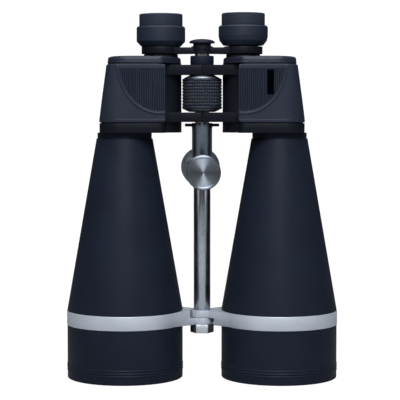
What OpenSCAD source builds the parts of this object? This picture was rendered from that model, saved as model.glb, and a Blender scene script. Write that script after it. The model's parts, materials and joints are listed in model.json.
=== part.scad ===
// Giant Porro-prism binoculars for a tripod, standing on their objective ends.
// X runs across the two barrels, Y runs from the front to the back, and Z is up the hinge.
// The origin is on the hinge axis, level with the barrel ends. "right" is +X.

/* [Layout] */
// Distance between the axes of the two objective barrels
barrel_spacing = 127.8; // [126:0.1:130]
// Distance between the axes of the two eyepieces
eye_spacing = 68; // [67:0.5:70]
// How far the eyepiece axes sit behind the hinge axis
eye_back = 6; // [5:0.5:7]

/* [Objective barrels] */
// Outer radius of the wide end
barrel_r = 47.8; // [47:0.1:49]
// Bore of the hood in front of the lens
hood_bore_r = 45.8; // [45:0.1:46]
// Radius of the barrel where the cone meets the neck
cone_top_r = 23.1; // [22.8:0.1:24]
// Height of the top of the cone
cone_top_z = 197.8; // [195:0.1:199]
// Radius of the neck that enters the prism housing
neck_r = 22.4; // [22:0.1:22.7]
// Light passage through the neck
neck_bore_r = 20.5; // [19:0.1:21]
// Radius of the objective lenses
lens_r = 41; // [40:0.1:42]

/* [Brace and tripod rod] */
// Lower edge of the brace rings
brace_z = 44.2; // [44:0.1:46]
// Height of the brace rings
brace_h = 11.5; // [11:0.1:12]
// Radius of the lugs on the hinge axis
lug_r = 9.1; // [8.8:0.1:9.4]
// Radius of the rod
rod_r = 6.95; // [6.7:0.05:7]
// Across flats of the nut under the lugs
nut_flats = 17; // [16:0.5:18]
// Height of the lock knob and the tripod foot
post_z = 170.6; // [168:0.1:171]
// Small turn of the post about the rod
post_turn = 2; // [0:0.5:4]
// Radius of the lock knob
knob_r = 14.1; // [12:0.1:15]
// Radius of the tripod foot
foot_r = 16.4; // [14:0.1:17]
// Radius of the tripod thread in the foot
thread_r = 3.175; // [3:0.025:4.75]

/* [Prism housings] */
// Lowest face of the housing
housing_z = 202.6; // [202.6:0.1:203]
// Top of the housing walls
housing_top = 259; // [258.8:0.1:259.2]
// Distance of the housing's outer end from the hinge
housing_out = 84.2; // [84:0.1:86]
// Distance of the flat front's inner edge from the hinge
housing_in = 29.4; // [29:0.1:31]
// Half of the depth from front to back
housing_half = 28; // [27.5:0.1:29]
// Thickness of the rubber armour
armour_t = 1.5; // [1.2:0.1:1.8]
// Width of the upper glass prism
prism_w = 18; // [16:0.5:18]

/* [Focusing] */
// Radius of the focus wheel
wheel_r = 16.35; // [15:0.05:16.6]
// Lower edge of the focus wheel's grip
wheel_z = 221.8; // [221:0.1:222]
// Height of the focus wheel's grip
wheel_h = 24.4; // [24:0.1:25]
// Underside of the focus bridge
bridge_z = 267.4; // [267.4:0.1:268]
// Thickness of the focus bridge
bridge_t = 5.1; // [5:0.1:5.2]

/* [Eyepieces] */
// Radius of the grip band
band_r = 20.1; // [20:0.1:21]
// Radius of the twist-up eyecup
cup_r = 17.9; // [17.5:0.05:17.95]
// Top of the eyecup when twisted up
cup_top = 300.2; // [300:0.1:302]
// How far the diopter setting lifts the right eyepiece
diopter_lift = 0.7; // [0:0.1:1]

/* [Hidden] */
$fn = 96;
side_parts = [
    "objective_barrel", "objective_cell", "retaining_ring", "front_lens", "rear_lens", "brace_ring",
    "prism_housing", "armour", "top_cover", "cover_screws", "prism_shelf", "upper_prism", "lower_prism",
    "guide_tube", "bridge_arm", "eyepiece_barrel", "grip_band", "ocular_cell", "eye_lens", "field_lens",
    "eyecup_sleeve", "eyecup"
];
middle_parts = [
    "brace_rod", "rod_nut", "rod_socket", "hinge_washer", "hinge_axle", "hinge_collar", "focus_wheel",
    "focus_spindle", "bridge_cap", "slider_bush", "tripod_post", "lock_knob", "name_plate"
];

left = -1;
right = 1;
arc_steps = 720;                 // the flat arcs of the large lenses
far = 400;                       // longer than any piece, for cutting
gap = 0.05;                      // running clearance on a radius
clear = 0.3;                     // clearance between flat faces that pass each other
black = [0.11, 0.12, 0.14];
dark = [0.17, 0.18, 0.21];
silver = [0.72, 0.74, 0.77];
glass = [0.35, 0.5, 0.55];
steel = [0.6, 0.62, 0.64];

barrel_x = barrel_spacing / 2;
eye_x = eye_spacing / 2;

// Barrel
lip_round = 0.8;
bead_r = 0.5;
bead_first_z = 7;
bead_pitch = 2.3;
bead_count = 3;
cell_z = 22;
cell_top = 40;
hood_depth = cell_z - 3.5;
seat_bore_r = hood_bore_r - 1.3;
shoulder_r = seat_bore_r - 0.7;
groove_r = barrel_r - 1.25;
brace_top = brace_z + brace_h;
cone_z = brace_top + 0.6;
neck_top = housing_z - 0.1;
front_lens_edge = 4;
front_lens_curve = 300;
inner_lens_curve = 250;
rear_lens_top = cell_top - 4;

// Brace
ring_r = barrel_r + 0.35;
stud_r = 5;
lug_split = brace_z + 5.3;
arm_root_x = barrel_x - 40.4;
arm_root_y = 24.6;
lug_relief = lug_r + 0.6;
arm_tip_front = [4.5, -7.9];
arm_tip_back = [2.5, 6.5];       // leaves room for the other arm as the hinge folds
nut_h = 7.2;
rod_shoulder = brace_top + clear;
socket_z = 180;
socket_r = 8.35;
flange_z = 206.5;
flange_r = 8.6;
washer_r = 14.2;
washer_front = 4;                // the washer's flat front edge, which leaves the flange in view

// Post
bush_r = 8.6;
bush_flange_r = 10.8;
bush_flange_t = 1.4;
bush_half = 9.1;
block_half = 7.6;
block_r = 12.8;
stem_r = 7.5;
foot_back = 46.5;
foot_z = post_z + 2.4;           // the foot sits a little above the knob
foot_t = 10.5;
boss_front = 17;
knob_front = 35;
knob_t = 12.5;
screw_r = 2.5;

// Housing
skirt_top = 210.4;
armour_z = 211;
armour_top = 258;
top_taper = 6.6;
wall = 2;
floor_t = 3.4;
floor_bore_r = 17.5;             // leaves a wall between the light passage and the outer end
lobe_r = 17;
outer_round = 17;
inner_round = 6;
shelf_z = 233;
shelf_t = 3;
ledge = 0.8;
cover_z = housing_top + 0.1;
cover_t = 5.3;
crown_t = 1.2;
cover_out = housing_out - top_taper - 0.3;
screw_places = [[41, 22.5], [41, -22.5], [66, 22.5], [66, -22.5]];
cover_screw_r = 1.2;
cover_head_r = 1.9;
cover_head_t = 1;
cover_seat_z = cover_z + cover_t - 1.6;
screw_boss_r = 2.6;
plate_x = 52.6;
plate_w = 5.4;
plate_z = 234;
plate_h = 19.6;
plate_t = 0.6;

// Prisms: the light path turns at the corner of a right angle between the barrel and the eyepiece
objective_at = [barrel_x, 0];
eyepiece_at = [eye_x, eye_back];
path = eyepiece_at - objective_at;
corner_at = (objective_at + eyepiece_at) / 2 + [-path[1], path[0]] / 2;
prism_h = norm(path) / sqrt(2);
prism_end = 17;
prism_flat = 1.5;
lower_prism_w = 11.6;            // narrow enough to pass the corner beside the lobe
light_r = 8;

// Hinge
lower_arm = [211.3, 219.2];
upper_arm = [250, 258];
arm_front = 12.6;
arm_back = 8;
arm_seam = 0.45;                 // half of the slit between the two arms' front plates
arm_notch = 1.6;                 // side of the V at the top of that slit
knuckle_r = 10;
knuckle_relief = 10.6;
axle_r = 6;
axle_bore_r = 3.1;
axle_z = flange_z + 4.1;
axle_top = 267;
collar_r = 9.7;
collar_top = 265.6;
wheel_hub_r = 10.4;
wheel_shoulder_r = 15.6;

// Bridge
bridge_ring_r = 16;
bridge_hub_r = 8.6;
bridge_relief = 9.2;
bridge_arm_half = 6;
bridge_ring_half = 11;
spindle_r = 3;
spindle_head_r = 4.5;
spindle_z = 232;
bridge_top = bridge_z + bridge_t;
cap_z = bridge_top + 0.2;
cap_hub_r = 7.4;
cap_hub_h = 3.5;
cap_r = 10.5;
cap_h = 3.3;

// Eyepiece
slide_r = 12;
slide_bore = 10.55;
slide_z = 246;
slide_top = 285;
guide_wall = 2;
guide_top = 266.9;
band_z = 273.7;
band_top = 290;
band_foot_r = 16.6;
band_chamfer = 3.9;
well_z = 278.5;
well_r = 18.25;
cell_r = 10.5;
cell_bore = 9;
ocular_z = 262;
head_r = 12.95;
head_z = 286.6;
seat_r = 11;
seat_z = 287.6;
sleeve_bore = head_r + gap;
sleeve_r = 15;
sleeve_z = 280.2;
sleeve_top = 289.8;
cup_z = band_top + 0.2;
cup_foot_z = 287;                // the part of the cup that hides in the band's well
cup_foot_r = 17.3;
lip_z = 298;
lip_r = 14;

// Depth of a lens face of this curve, from its edge to its middle
function sag(curve) = curve - sqrt(pow(curve, 2) - pow(lens_r, 2));
inner_face_z = cell_z + front_lens_edge + sag(inner_lens_curve);

function lift(side) = side == right ? diopter_lift : 0;

// Shared shapes

module tube(z0, z1, r_out, r_in) {
    translate([0, 0, z0]) difference() {
        cylinder(h = z1 - z0, r = r_out);
        translate([0, 0, -1]) cylinder(h = z1 - z0 + 2, r = r_in);
    }
}

module rod(z0, z1, r) {
    translate([0, 0, z0]) cylinder(h = z1 - z0, r = r);
}

module on(side) {
    mirror([side == left ? 1 : 0, 0, 0]) children();
}

module slab(z0, z1) {
    translate([0, 0, z0]) linear_extrude(z1 - z0) children();
}

module at_barrel() {
    translate([barrel_x, 0, 0]) children();
}

module at_eyepiece(side = left) {
    translate([eye_x, eye_back, lift(side)]) children();
}

// Along Y from y0 to y1, for the knob and the foot
module along_y(y0, y1, r, z = post_z) {
    translate([0, y0, z]) rotate([-90, 0, 0]) cylinder(h = y1 - y0, r = r);
}

// Objective barrels

module objective_barrel() {
    at_barrel() {
        rotate_extrude() polygon([
            [hood_bore_r, 0], [barrel_r - lip_round, 0], [barrel_r, lip_round],
            [barrel_r, brace_z - gap], [groove_r, brace_z - gap],
            [groove_r, brace_top + gap], [barrel_r, brace_top + gap], [barrel_r, cone_z],
            [cone_top_r, cone_top_z], [neck_r, cone_top_z], [neck_r, neck_top],
            [neck_bore_r, neck_top], [neck_bore_r, cone_top_z],
            [shoulder_r, cone_z + 1], [shoulder_r, cell_top], [seat_bore_r, cell_top],
            [seat_bore_r, hood_depth], [hood_bore_r, hood_depth]
        ]);
        for (i = [0 : bead_count - 1])
            translate([0, 0, bead_first_z + i * bead_pitch])
                rotate_extrude() translate([barrel_r - 0.1, 0]) circle(r = bead_r, $fn = 32);
    }
}

module objective_cell() {
    at_barrel() {
        tube(cell_z, rear_lens_top + gap, seat_bore_r - gap, lens_r + gap);
        tube(rear_lens_top + gap, cell_top, seat_bore_r - gap, lens_r - 1);
    }
}

module retaining_ring() {
    at_barrel() tube(hood_depth + 0.3, cell_z - 0.2, seat_bore_r - gap, lens_r - 1);
}

// Half section of a lens: what lies above one arc and below another
module lens_section(low, low_curve, high, high_curve) {
    intersection() {
        translate([0, low - 1]) square([lens_r, high - low + 2]);
        translate([0, low + low_curve]) circle(r = low_curve, $fn = arc_steps);
        translate([0, high - high_curve]) circle(r = high_curve, $fn = arc_steps);
    }
}

// Double convex lens, the one that faces out of the barrel
module front_lens() {
    at_barrel() rotate_extrude()
        lens_section(cell_z - sag(front_lens_curve), front_lens_curve, inner_face_z, inner_lens_curve);
}

// Lens with a hollow face that matches the front lens and a flat back
module rear_lens() {
    low = cell_z + front_lens_edge + gap;
    at_barrel() rotate_extrude() difference() {
        translate([0, low]) square([lens_r, rear_lens_top - low]);
        translate([0, inner_face_z + gap - inner_lens_curve]) circle(r = inner_lens_curve, $fn = arc_steps);
    }
}

// Brace rings, rod and tripod post

module brace_arm_plan() {
    polygon([[arm_root_x, -arm_root_y], [arm_root_x, arm_root_y], arm_tip_back, arm_tip_front]);
}

// Room round a lug and in front of it, where the other ring's arm is cut away
module lug_room(half_width) {
    circle(r = half_width);
    translate([-half_width, -arm_root_y]) square([2 * half_width, arm_root_y]);
}

// The right ring's lug lies on top of the left ring's lug
module brace_ring(side) {
    lug = side == right ? [lug_split + clear, brace_top] : [brace_z, lug_split];
    difference() {
        union() {
            at_barrel() rod(brace_z, brace_top, ring_r);
            difference() {
                slab(brace_z, brace_top) brace_arm_plan();
                slab(brace_z - 1, brace_top + 1) lug_room(lug_relief);
            }
            slab(lug[0], lug[1]) intersection() {
                brace_arm_plan();
                lug_room(lug_relief + 1);
            }
            rod(lug[0], lug[1], lug_r);
        }
        at_barrel() rod(brace_z - 1, brace_top + 1, groove_r + gap);
        rod(brace_z - 1, brace_top + 1, stud_r + gap);
    }
}

module brace_rod() {
    rod(brace_z - nut_h, rod_shoulder, stud_r);
    rod(rod_shoulder, socket_z + 14, rod_r);
}

module rod_nut() {
    difference() {
        translate([0, 0, brace_z - nut_h - 0.1])
            cylinder(h = nut_h, r = nut_flats / 2 / cos(30), $fn = 6);
        rod(brace_z - nut_h - 1, brace_z, stud_r + gap);
    }
}

module rod_socket() {
    difference() {
        union() {
            rod(socket_z, flange_z, socket_r);
            rod(flange_z, flange_z + 4, flange_r);
        }
        rod(socket_z - 1, socket_z + 15, rod_r + gap);
    }
}

module hinge_washer() {
    difference() {
        tube(flange_z + 1.1, flange_z + 3.5, washer_r, flange_r + gap);
        translate([-washer_r, -washer_r - washer_front, flange_z]) cube([2 * washer_r, washer_r, 5]);
    }
}

// Flanged sleeve that slides on the rod and carries the post
module slider_bush() {
    difference() {
        union() {
            rod(post_z - bush_half, post_z + bush_half, bush_r);
            for (end = [-bush_half, bush_half - bush_flange_t])
                rod(post_z + end, post_z + end + bush_flange_t, bush_flange_r);
        }
        rod(post_z - bush_half - 1, post_z + bush_half + 1, rod_r + gap);
    }
}

module tripod_post() {
    rotate(post_turn) difference() {
        union() {
            rod(post_z - block_half, post_z + block_half, block_r);
            along_y(0, foot_back - foot_t, stem_r);
            along_y(foot_back - foot_t, foot_back, foot_r, foot_z);
            along_y(-boss_front, 0, stem_r);
        }
        rod(post_z - block_half - 1, post_z + block_half + 1, bush_r + gap);
        along_y(-boss_front - 1, 0, screw_r + gap);
        along_y(foot_back - foot_t + 0.5, foot_back + 1, thread_r, foot_z);
    }
}

module lock_knob() {
    rotate(post_turn) {
        along_y(-knob_front, -knob_front + knob_t, knob_r);
        along_y(-knob_front + knob_t, -boss_front - clear, stem_r);
        along_y(-boss_front - clear, -bush_r - clear, screw_r);
    }
}

// Prism housings

// Rectangle with one radius on its inner corners and another on its outer corners
module housing_block(x0, x1, half, r0, r1) {
    translate([x0 + r0, -half]) square([x1 - r1 - x0 - r0, 2 * half]);
    translate([x0, -half + r0]) square([r0, 2 * (half - r0)]);
    translate([x1 - r1, -half + r1]) square([r1, 2 * (half - r1)]);
    for (y = [-1, 1]) {
        translate([x0 + r0, y * (half - r0)]) circle(r = r0);
        translate([x1 - r1, y * (half - r1)]) circle(r = r1);
    }
}

// Block plus the round lobe that surrounds the eyepiece
module housing_plan(inset, lobe_inset) {
    housing_block(housing_in + inset, housing_out - inset, housing_half - inset,
        inner_round - inset, outer_round - inset);
    translate(eyepiece_at) circle(r = lobe_r - lobe_inset);
}

// Keeps what lies inside the outer end's slope
module inside_slope(inset) {
    low = housing_out - inset;
    high = housing_out - top_taper - inset;
    intersection() {
        children();
        rotate([90, 0, 0]) linear_extrude(far, center = true)
            polygon([[-far, 0], [low, 0], [low, skirt_top], [high, armour_top], [high, far], [-far, far]]);
    }
}

module hinge_arm_plan() {
    translate([arm_seam, -arm_front]) square([eye_x - arm_seam, arm_front + arm_back]);
}

// Bar from the housing to the axle. Its front plate has the bar's full height, and the knuckle behind it has half.
module hinge_arm(span, knuckle) {
    difference() {
        slab(span[0], span[1]) hinge_arm_plan();
        rod(span[0] - 1, span[1] + 1, knuckle_relief);
        translate([0, -arm_front, span[1]]) rotate([0, 45, 0]) cube([arm_notch, 3, arm_notch], center = true);
    }
    slab(knuckle[0], knuckle[1]) intersection() {
        hinge_arm_plan();
        circle(r = knuckle_relief + 1);
    }
    rod(knuckle[0], knuckle[1], knuckle_r);
}

// The left knuckles are at the far ends of the hinge and the right knuckles face the wheel
module hinge_arms(side) {
    lower_mid = (lower_arm[0] + lower_arm[1]) / 2;
    upper_mid = (upper_arm[0] + upper_arm[1]) / 2;
    half_gap = clear / 2;
    if (side == left) {
        hinge_arm(lower_arm, [lower_arm[0], lower_mid - half_gap]);
        hinge_arm(upper_arm, [upper_mid + half_gap, upper_arm[1]]);
    } else {
        hinge_arm(lower_arm, [lower_mid + half_gap, lower_arm[1]]);
        hinge_arm(upper_arm, [upper_arm[0], upper_mid - half_gap]);
    }
}

module at_screws() {
    for (place = screw_places) translate(place) children();
}

module prism_housing(side) {
    inner = armour_t + wall;
    boss_z = shelf_z + shelf_t + 6;
    difference() {
        union() {
            slab(housing_z, skirt_top) housing_plan(0.3, 0);
            inside_slope(armour_t) slab(skirt_top, housing_top) housing_plan(armour_t, 0);
            hinge_arms(side);
        }
        difference() {
            union() {
                inside_slope(inner) slab(shelf_z, far) housing_plan(inner, wall);
                inside_slope(inner + ledge)
                    slab(housing_z + floor_t, shelf_z + 1) housing_plan(inner + ledge, wall + ledge);
            }
            at_screws() rod(boss_z, housing_top, screw_boss_r);
        }
        at_barrel() rod(housing_z - 1, housing_z + floor_t + 1, floor_bore_r);
        at_screws() rod(boss_z + 1, far, cover_screw_r + gap);
        rod(housing_z, housing_top, axle_r + gap);
    }
}

// Rubber skin round the front, the outer end and the back
module armour() {
    under = armour_t - gap;
    difference() {
        inside_slope(0) slab(armour_z, armour_top) housing_plan(0, lobe_r / 2);
        inside_slope(under) slab(armour_z - 1, armour_top + 1) housing_plan(under, -gap);
        translate([0, -housing_half + armour_t, 0])
            cube([housing_in + inner_round, 2 * (housing_half - armour_t), far]);
    }
}

// Fills the notch between a block's inner front corner and the eyepiece's lobe, along the line that touches both
module corner_web(half, corner_r, lobe) {
    corner = [housing_in + corner_r, corner_r - half];
    run = eyepiece_at - corner;
    turn = atan2(run[1], run[0]) + 90 + asin((lobe - corner_r) / norm(run));
    out = [cos(turn), sin(turn)];
    polygon([corner, corner + corner_r * out, eyepiece_at + lobe * out, eyepiece_at]);
}

module top_cover() {
    crown_inset = 6;
    half = housing_half - armour_t;
    lobe = lobe_r - 0.3;
    difference() {
        union() {
            slab(cover_z, cover_z + cover_t) {
                housing_block(housing_in, cover_out, half, inner_round, outer_round);
                translate(eyepiece_at) circle(r = lobe);
                corner_web(half, inner_round, lobe);
            }
            slab(cover_z + cover_t, cover_z + cover_t + crown_t)
                housing_block(housing_in + crown_inset, cover_out - crown_inset, half - crown_inset,
                    inner_round, outer_round - crown_inset);
        }
        at_eyepiece() rod(cover_z - 1, far, slide_r + guide_wall + 2 * gap);
        at_screws() {
            rod(cover_z - 1, far, cover_screw_r + gap);
            rod(cover_seat_z, far, cover_head_r + clear);
        }
    }
}

module cover_screws() {
    at_screws() {
        rod(cover_z - 9, cover_seat_z, cover_screw_r);
        rod(cover_seat_z, cover_seat_z + cover_head_t, cover_head_r);
    }
}

module prism_shelf() {
    inner = armour_t + wall + gap;
    difference() {
        inside_slope(inner) slab(shelf_z + gap, shelf_z + shelf_t) housing_plan(inner, wall + gap);
        slab(shelf_z - 1, shelf_z + shelf_t + 1)
            for (place = [objective_at, corner_at, eyepiece_at]) translate(place) circle(r = light_r);
    }
}

// Right-angle glass prism lying on its long face, with its ends and its ridge ground off
module porro_prism(from, to, z, up, width) {
    run = to - from;
    centre = (from + to) / 2;
    ridge = prism_h - prism_flat;
    translate([centre[0], centre[1], z]) rotate(atan2(run[1], run[0]))
        rotate([90, 0, 0]) linear_extrude(width, center = true) polygon([
            [-prism_end, 0], [prism_end, 0], [prism_end, up * (prism_h - prism_end)],
            [prism_flat, up * ridge], [-prism_flat, up * ridge], [-prism_end, up * (prism_h - prism_end)]
        ]);
}

module upper_prism() {
    porro_prism(objective_at, corner_at, shelf_z + shelf_t + gap, 1, prism_w);
}

module lower_prism() {
    porro_prism(corner_at, eyepiece_at, shelf_z, -1, lower_prism_w);
}

module name_plate() {
    translate([plate_x, -housing_half - plate_t, plate_z]) cube([plate_w, plate_t, plate_h]);
}

// Hinge and focusing

module hinge_axle() {
    difference() {
        rod(axle_z, axle_top, axle_r);
        rod(wheel_z, axle_top + 1, axle_bore_r);
    }
}

module hinge_collar() {
    tube(upper_arm[1] + 0.1, collar_top, collar_r, axle_r + gap);
}

module focus_wheel() {
    hub_z = lower_arm[1] + clear;
    hub_top = upper_arm[0] - clear;
    chamfer = 0.8;
    wheel_top = wheel_z + wheel_h;
    rotate_extrude() polygon([
        [axle_r + gap, hub_z], [wheel_hub_r, hub_z], [wheel_shoulder_r, wheel_z],
        [wheel_r, wheel_z + chamfer], [wheel_r, wheel_top - chamfer], [wheel_shoulder_r, wheel_top],
        [wheel_hub_r, hub_top], [axle_r + gap, hub_top]
    ]);
}

module focus_spindle() {
    rod(spindle_z, axle_top + 0.2, spindle_r);
    rod(axle_top + 0.2, cap_z + cap_hub_h - 0.5, spindle_head_r);
}

// Bar from the hinge axis to the eyepiece, with half of its thickness in the middle joint
module bridge_arm(side) {
    middle = bridge_z + bridge_t / 2;
    hub = side == left ? [bridge_z, middle - clear / 2] : [middle + clear / 2, bridge_top];
    difference() {
        union() {
            slab(bridge_z, bridge_top) difference() {
                bridge_plan();
                circle(r = bridge_relief);
            }
            slab(hub[0], hub[1]) intersection() {
                bridge_plan();
                circle(r = bridge_relief + 1);
            }
            rod(hub[0], hub[1], bridge_hub_r);
            at_eyepiece() rod(bridge_z, band_z - clear, bridge_ring_r);
        }
        rod(bridge_z - 1, bridge_top + 1, spindle_head_r + gap);
        at_eyepiece() rod(bridge_z - 1, bridge_top + 1, slide_r + gap);
    }
}

module bridge_plan() {
    polygon([
        [0, -bridge_arm_half], [eye_x, eye_back - bridge_ring_half],
        [eye_x, eye_back + bridge_ring_half], [0, bridge_arm_half]
    ]);
}

module bridge_cap() {
    rim_z = cap_z + cap_hub_h;
    dome_r = (pow(cap_r, 2) + pow(cap_h - 1, 2)) / (2 * (cap_h - 1));
    difference() {
        union() {
            rod(cap_z, rim_z, cap_hub_r);
            intersection() {
                rod(rim_z, rim_z + cap_h, cap_r);
                translate([0, 0, rim_z + cap_h - dome_r]) sphere(r = dome_r);
            }
        }
        rod(cap_z - 1, rim_z - 0.4, spindle_head_r + gap);
    }
}

// Eyepieces

module guide_tube() {
    at_eyepiece() {
        tube(cover_z, guide_top, slide_r + guide_wall + gap, slide_r + gap);
        tube(cover_z - 1.3, cover_z, slide_r + guide_wall + 0.9, slide_r + gap);
    }
}

module eyepiece_barrel() {
    at_eyepiece() tube(slide_z, slide_top, slide_r, slide_bore);
}

// The right band is the diopter ring: it is slightly larger, and its lower side leans in
module grip_band(side) {
    r = side == right ? band_r + 0.3 : band_r;
    foot = side == right ? r - 0.8 : r;
    at_eyepiece(side) rotate_extrude() polygon([
        [slide_r + gap, band_z], [band_foot_r, band_z], [foot, band_z + band_chamfer],
        [r, band_z + 2 * band_chamfer], [r, band_top - 0.7], [r - 0.7, band_top], [well_r, band_top],
        [well_r, well_z], [slide_r + gap, well_z]
    ]);
}

module ocular_cell(side) {
    at_eyepiece(side) rotate_extrude() polygon([
        [cell_bore, ocular_z], [cell_r, ocular_z], [cell_r, head_z], [head_r, head_z], [head_r, band_top],
        [seat_r, band_top], [seat_r, seat_z], [cell_bore, seat_z]
    ]);
}

// Plate of glass with a domed upper face
module small_lens(r, z, thick, curve) {
    intersection() {
        rod(z, z + thick, r);
        translate([0, 0, z + thick - curve]) sphere(r = curve);
    }
}

module eye_lens(side) {
    at_eyepiece(side) small_lens(seat_r - gap, seat_z, 3.4, 45);
}

module field_lens(side) {
    at_eyepiece(side) small_lens(cell_bore - gap, ocular_z + 1, 5, 30);
}

module eyecup_sleeve(side) {
    at_eyepiece(side) tube(sleeve_z, sleeve_top, sleeve_r, sleeve_bore);
}

module eyecup(side) {
    soft = 0.6;
    at_eyepiece(side) rotate_extrude() polygon([
        [sleeve_r + gap, cup_foot_z], [cup_foot_r, cup_foot_z], [cup_foot_r, cup_z],
        [cup_r, cup_z], [cup_r, cup_top - soft], [cup_r - soft, cup_top],
        [lip_r + soft, cup_top], [lip_r, cup_top - soft], [lip_r, lip_z], [sleeve_r + gap, lip_z]
    ]);
}

module side_part(part, side) {
    on(side) {
        if (part == "objective_barrel") color(black) objective_barrel();
        if (part == "objective_cell") color(black) objective_cell();
        if (part == "retaining_ring") color(black) retaining_ring();
        if (part == "front_lens") color(glass) front_lens();
        if (part == "rear_lens") color(glass) rear_lens();
        if (part == "brace_ring") color(silver) brace_ring(side);
        if (part == "prism_housing") color(black) prism_housing(side);
        if (part == "armour") color(dark) armour();
        if (part == "top_cover") color(dark) top_cover();
        if (part == "cover_screws") color(steel) cover_screws();
        if (part == "prism_shelf") color(steel) prism_shelf();
        if (part == "upper_prism") color(glass) upper_prism();
        if (part == "lower_prism") color(glass) lower_prism();
        if (part == "guide_tube") color(black) guide_tube();
        if (part == "bridge_arm") color(black) bridge_arm(side);
        if (part == "eyepiece_barrel") color(black) eyepiece_barrel();
        if (part == "grip_band") color(dark) grip_band(side);
        if (part == "ocular_cell") color(black) ocular_cell(side);
        if (part == "eye_lens") color(glass) eye_lens(side);
        if (part == "field_lens") color(glass) field_lens(side);
        if (part == "eyecup_sleeve") color(black) eyecup_sleeve(side);
        if (part == "eyecup") color(dark) eyecup(side);
    }
}

for (part = side_parts) {
    side_part(part, left);
    side_part(part, right);
}
color(silver) brace_rod();
color(silver) rod_nut();
color(silver) rod_socket();
color(black) hinge_washer();
color(steel) hinge_axle();
color(black) hinge_collar();
color(dark) focus_wheel();
color(steel) focus_spindle();
color(black) bridge_cap();
color(steel) slider_bush();
color(silver) tripod_post();
color(silver) lock_knob();
color(black) name_plate();
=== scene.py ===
"""Looks for the giant binoculars: finished meshes, materials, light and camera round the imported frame.

Lengths in the part's own drawing are millimetres, so outlines here are too, and MM turns them into metres.
X runs across, Y from front to back and Z up the hinge. "right" is +X, and left pieces are its mirror image.
"""
import json
import math

import bmesh
import bpy
from mathutils import Matrix, Vector


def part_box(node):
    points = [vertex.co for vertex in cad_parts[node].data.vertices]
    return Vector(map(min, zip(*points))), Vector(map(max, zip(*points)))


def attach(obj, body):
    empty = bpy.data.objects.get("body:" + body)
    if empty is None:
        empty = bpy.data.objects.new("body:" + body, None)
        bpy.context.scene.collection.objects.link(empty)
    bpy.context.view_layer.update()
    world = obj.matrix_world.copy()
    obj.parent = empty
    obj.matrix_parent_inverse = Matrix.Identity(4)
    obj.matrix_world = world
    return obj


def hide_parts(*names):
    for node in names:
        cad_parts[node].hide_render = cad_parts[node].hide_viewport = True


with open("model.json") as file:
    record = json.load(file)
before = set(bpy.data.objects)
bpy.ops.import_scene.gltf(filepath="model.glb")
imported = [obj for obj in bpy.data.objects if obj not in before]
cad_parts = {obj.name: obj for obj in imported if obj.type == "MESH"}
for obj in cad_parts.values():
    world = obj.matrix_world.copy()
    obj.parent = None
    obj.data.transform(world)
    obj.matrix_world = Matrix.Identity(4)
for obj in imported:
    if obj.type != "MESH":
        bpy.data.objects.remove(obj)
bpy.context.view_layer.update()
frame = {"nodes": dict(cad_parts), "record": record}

MM = 0.001
TAU = 2 * math.pi
SIDES = ("left", "right")


def low_high(node):
    """A CAD node's lowest and highest corners, in millimetres."""
    low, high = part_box(node)
    return Vector(low) / MM, Vector(high) / MM


def middle(node):
    """The middle of a CAD node's box, in millimetres."""
    low, high = low_high(node)
    return (low + high) / 2


# ---------------------------------------------------------------- mesh helpers


def finish_piece(name, bm, material, body, replaced, sharp=40):
    """Turns a bmesh in millimetres into a piece on a body, smooth but for edges over sharp degrees."""
    bmesh.ops.remove_doubles(bm, verts=bm.verts, dist=1e-4)
    bmesh.ops.recalc_face_normals(bm, faces=bm.faces)
    bmesh.ops.scale(bm, vec=(MM, MM, MM), verts=bm.verts)
    mesh = bpy.data.meshes.new(name)
    bm.to_mesh(mesh)
    bm.free()
    mesh.shade_smooth()
    mesh.set_sharp_from_angle(angle=math.radians(sharp))
    mesh.materials.append(material)
    piece = bpy.data.objects.new(name, mesh)
    bpy.context.collection.objects.link(piece)
    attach(piece, body)
    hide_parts(*replaced)
    return piece


def rounded(points, steps=5):
    """An outline with each corner (a, b, radius) made an arc. A corner without a radius stays sharp."""
    result = []
    count = len(points)
    for i, point in enumerate(points):
        here = Vector(point[:2])
        radius = point[2] if len(point) > 2 else 0
        back = Vector(points[i - 1][:2]) - here
        ahead = Vector(points[(i + 1) % count][:2]) - here
        half = back.angle(ahead) / 2
        if radius <= 0 or half > math.radians(89):
            result.append(tuple(here))
            continue
        reach = min(radius / math.tan(half), back.length * 0.49, ahead.length * 0.49)
        start = here + back.normalized() * reach
        end = here + ahead.normalized() * reach
        bisector = (back.normalized() + ahead.normalized()).normalized()
        centre = here + bisector * (reach / math.cos(half))
        size = reach * math.tan(half)
        a, b = start - centre, end - centre
        turn = a.angle(b)
        for k in range(steps + 1):
            share = k / steps
            left_part = math.sin((1 - share) * turn) / math.sin(turn)
            right_part = math.sin(share * turn) / math.sin(turn)
            arm = (a * left_part + b * right_part).normalized() * size
            result.append(tuple(centre + arm))
    return result


def add_lathe(bm, outline, centre, steps, closed=True, ripple=None):
    """Revolves an outline of (radius, height) about a vertical axis through centre.

    A closed outline joins its last point to its first. ripple(angle, radius, height) is added to the radius.
    """
    rings = []
    for r, z in outline:
        ring = []
        for k in range(steps):
            angle = TAU * k / steps
            reach = r + (ripple(angle, r, z) if ripple else 0)
            x = centre[0] + reach * math.cos(angle)
            y = centre[1] + reach * math.sin(angle)
            ring.append(bm.verts.new((x, y, z)))
        rings.append(ring)
    pairs = list(zip(rings, rings[1:] + rings[:1])) if closed else list(zip(rings, rings[1:]))
    for low, high in pairs:
        for k in range(steps):
            m = (k + 1) % steps
            bm.faces.new((low[k], low[m], high[m], high[k]))


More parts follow.
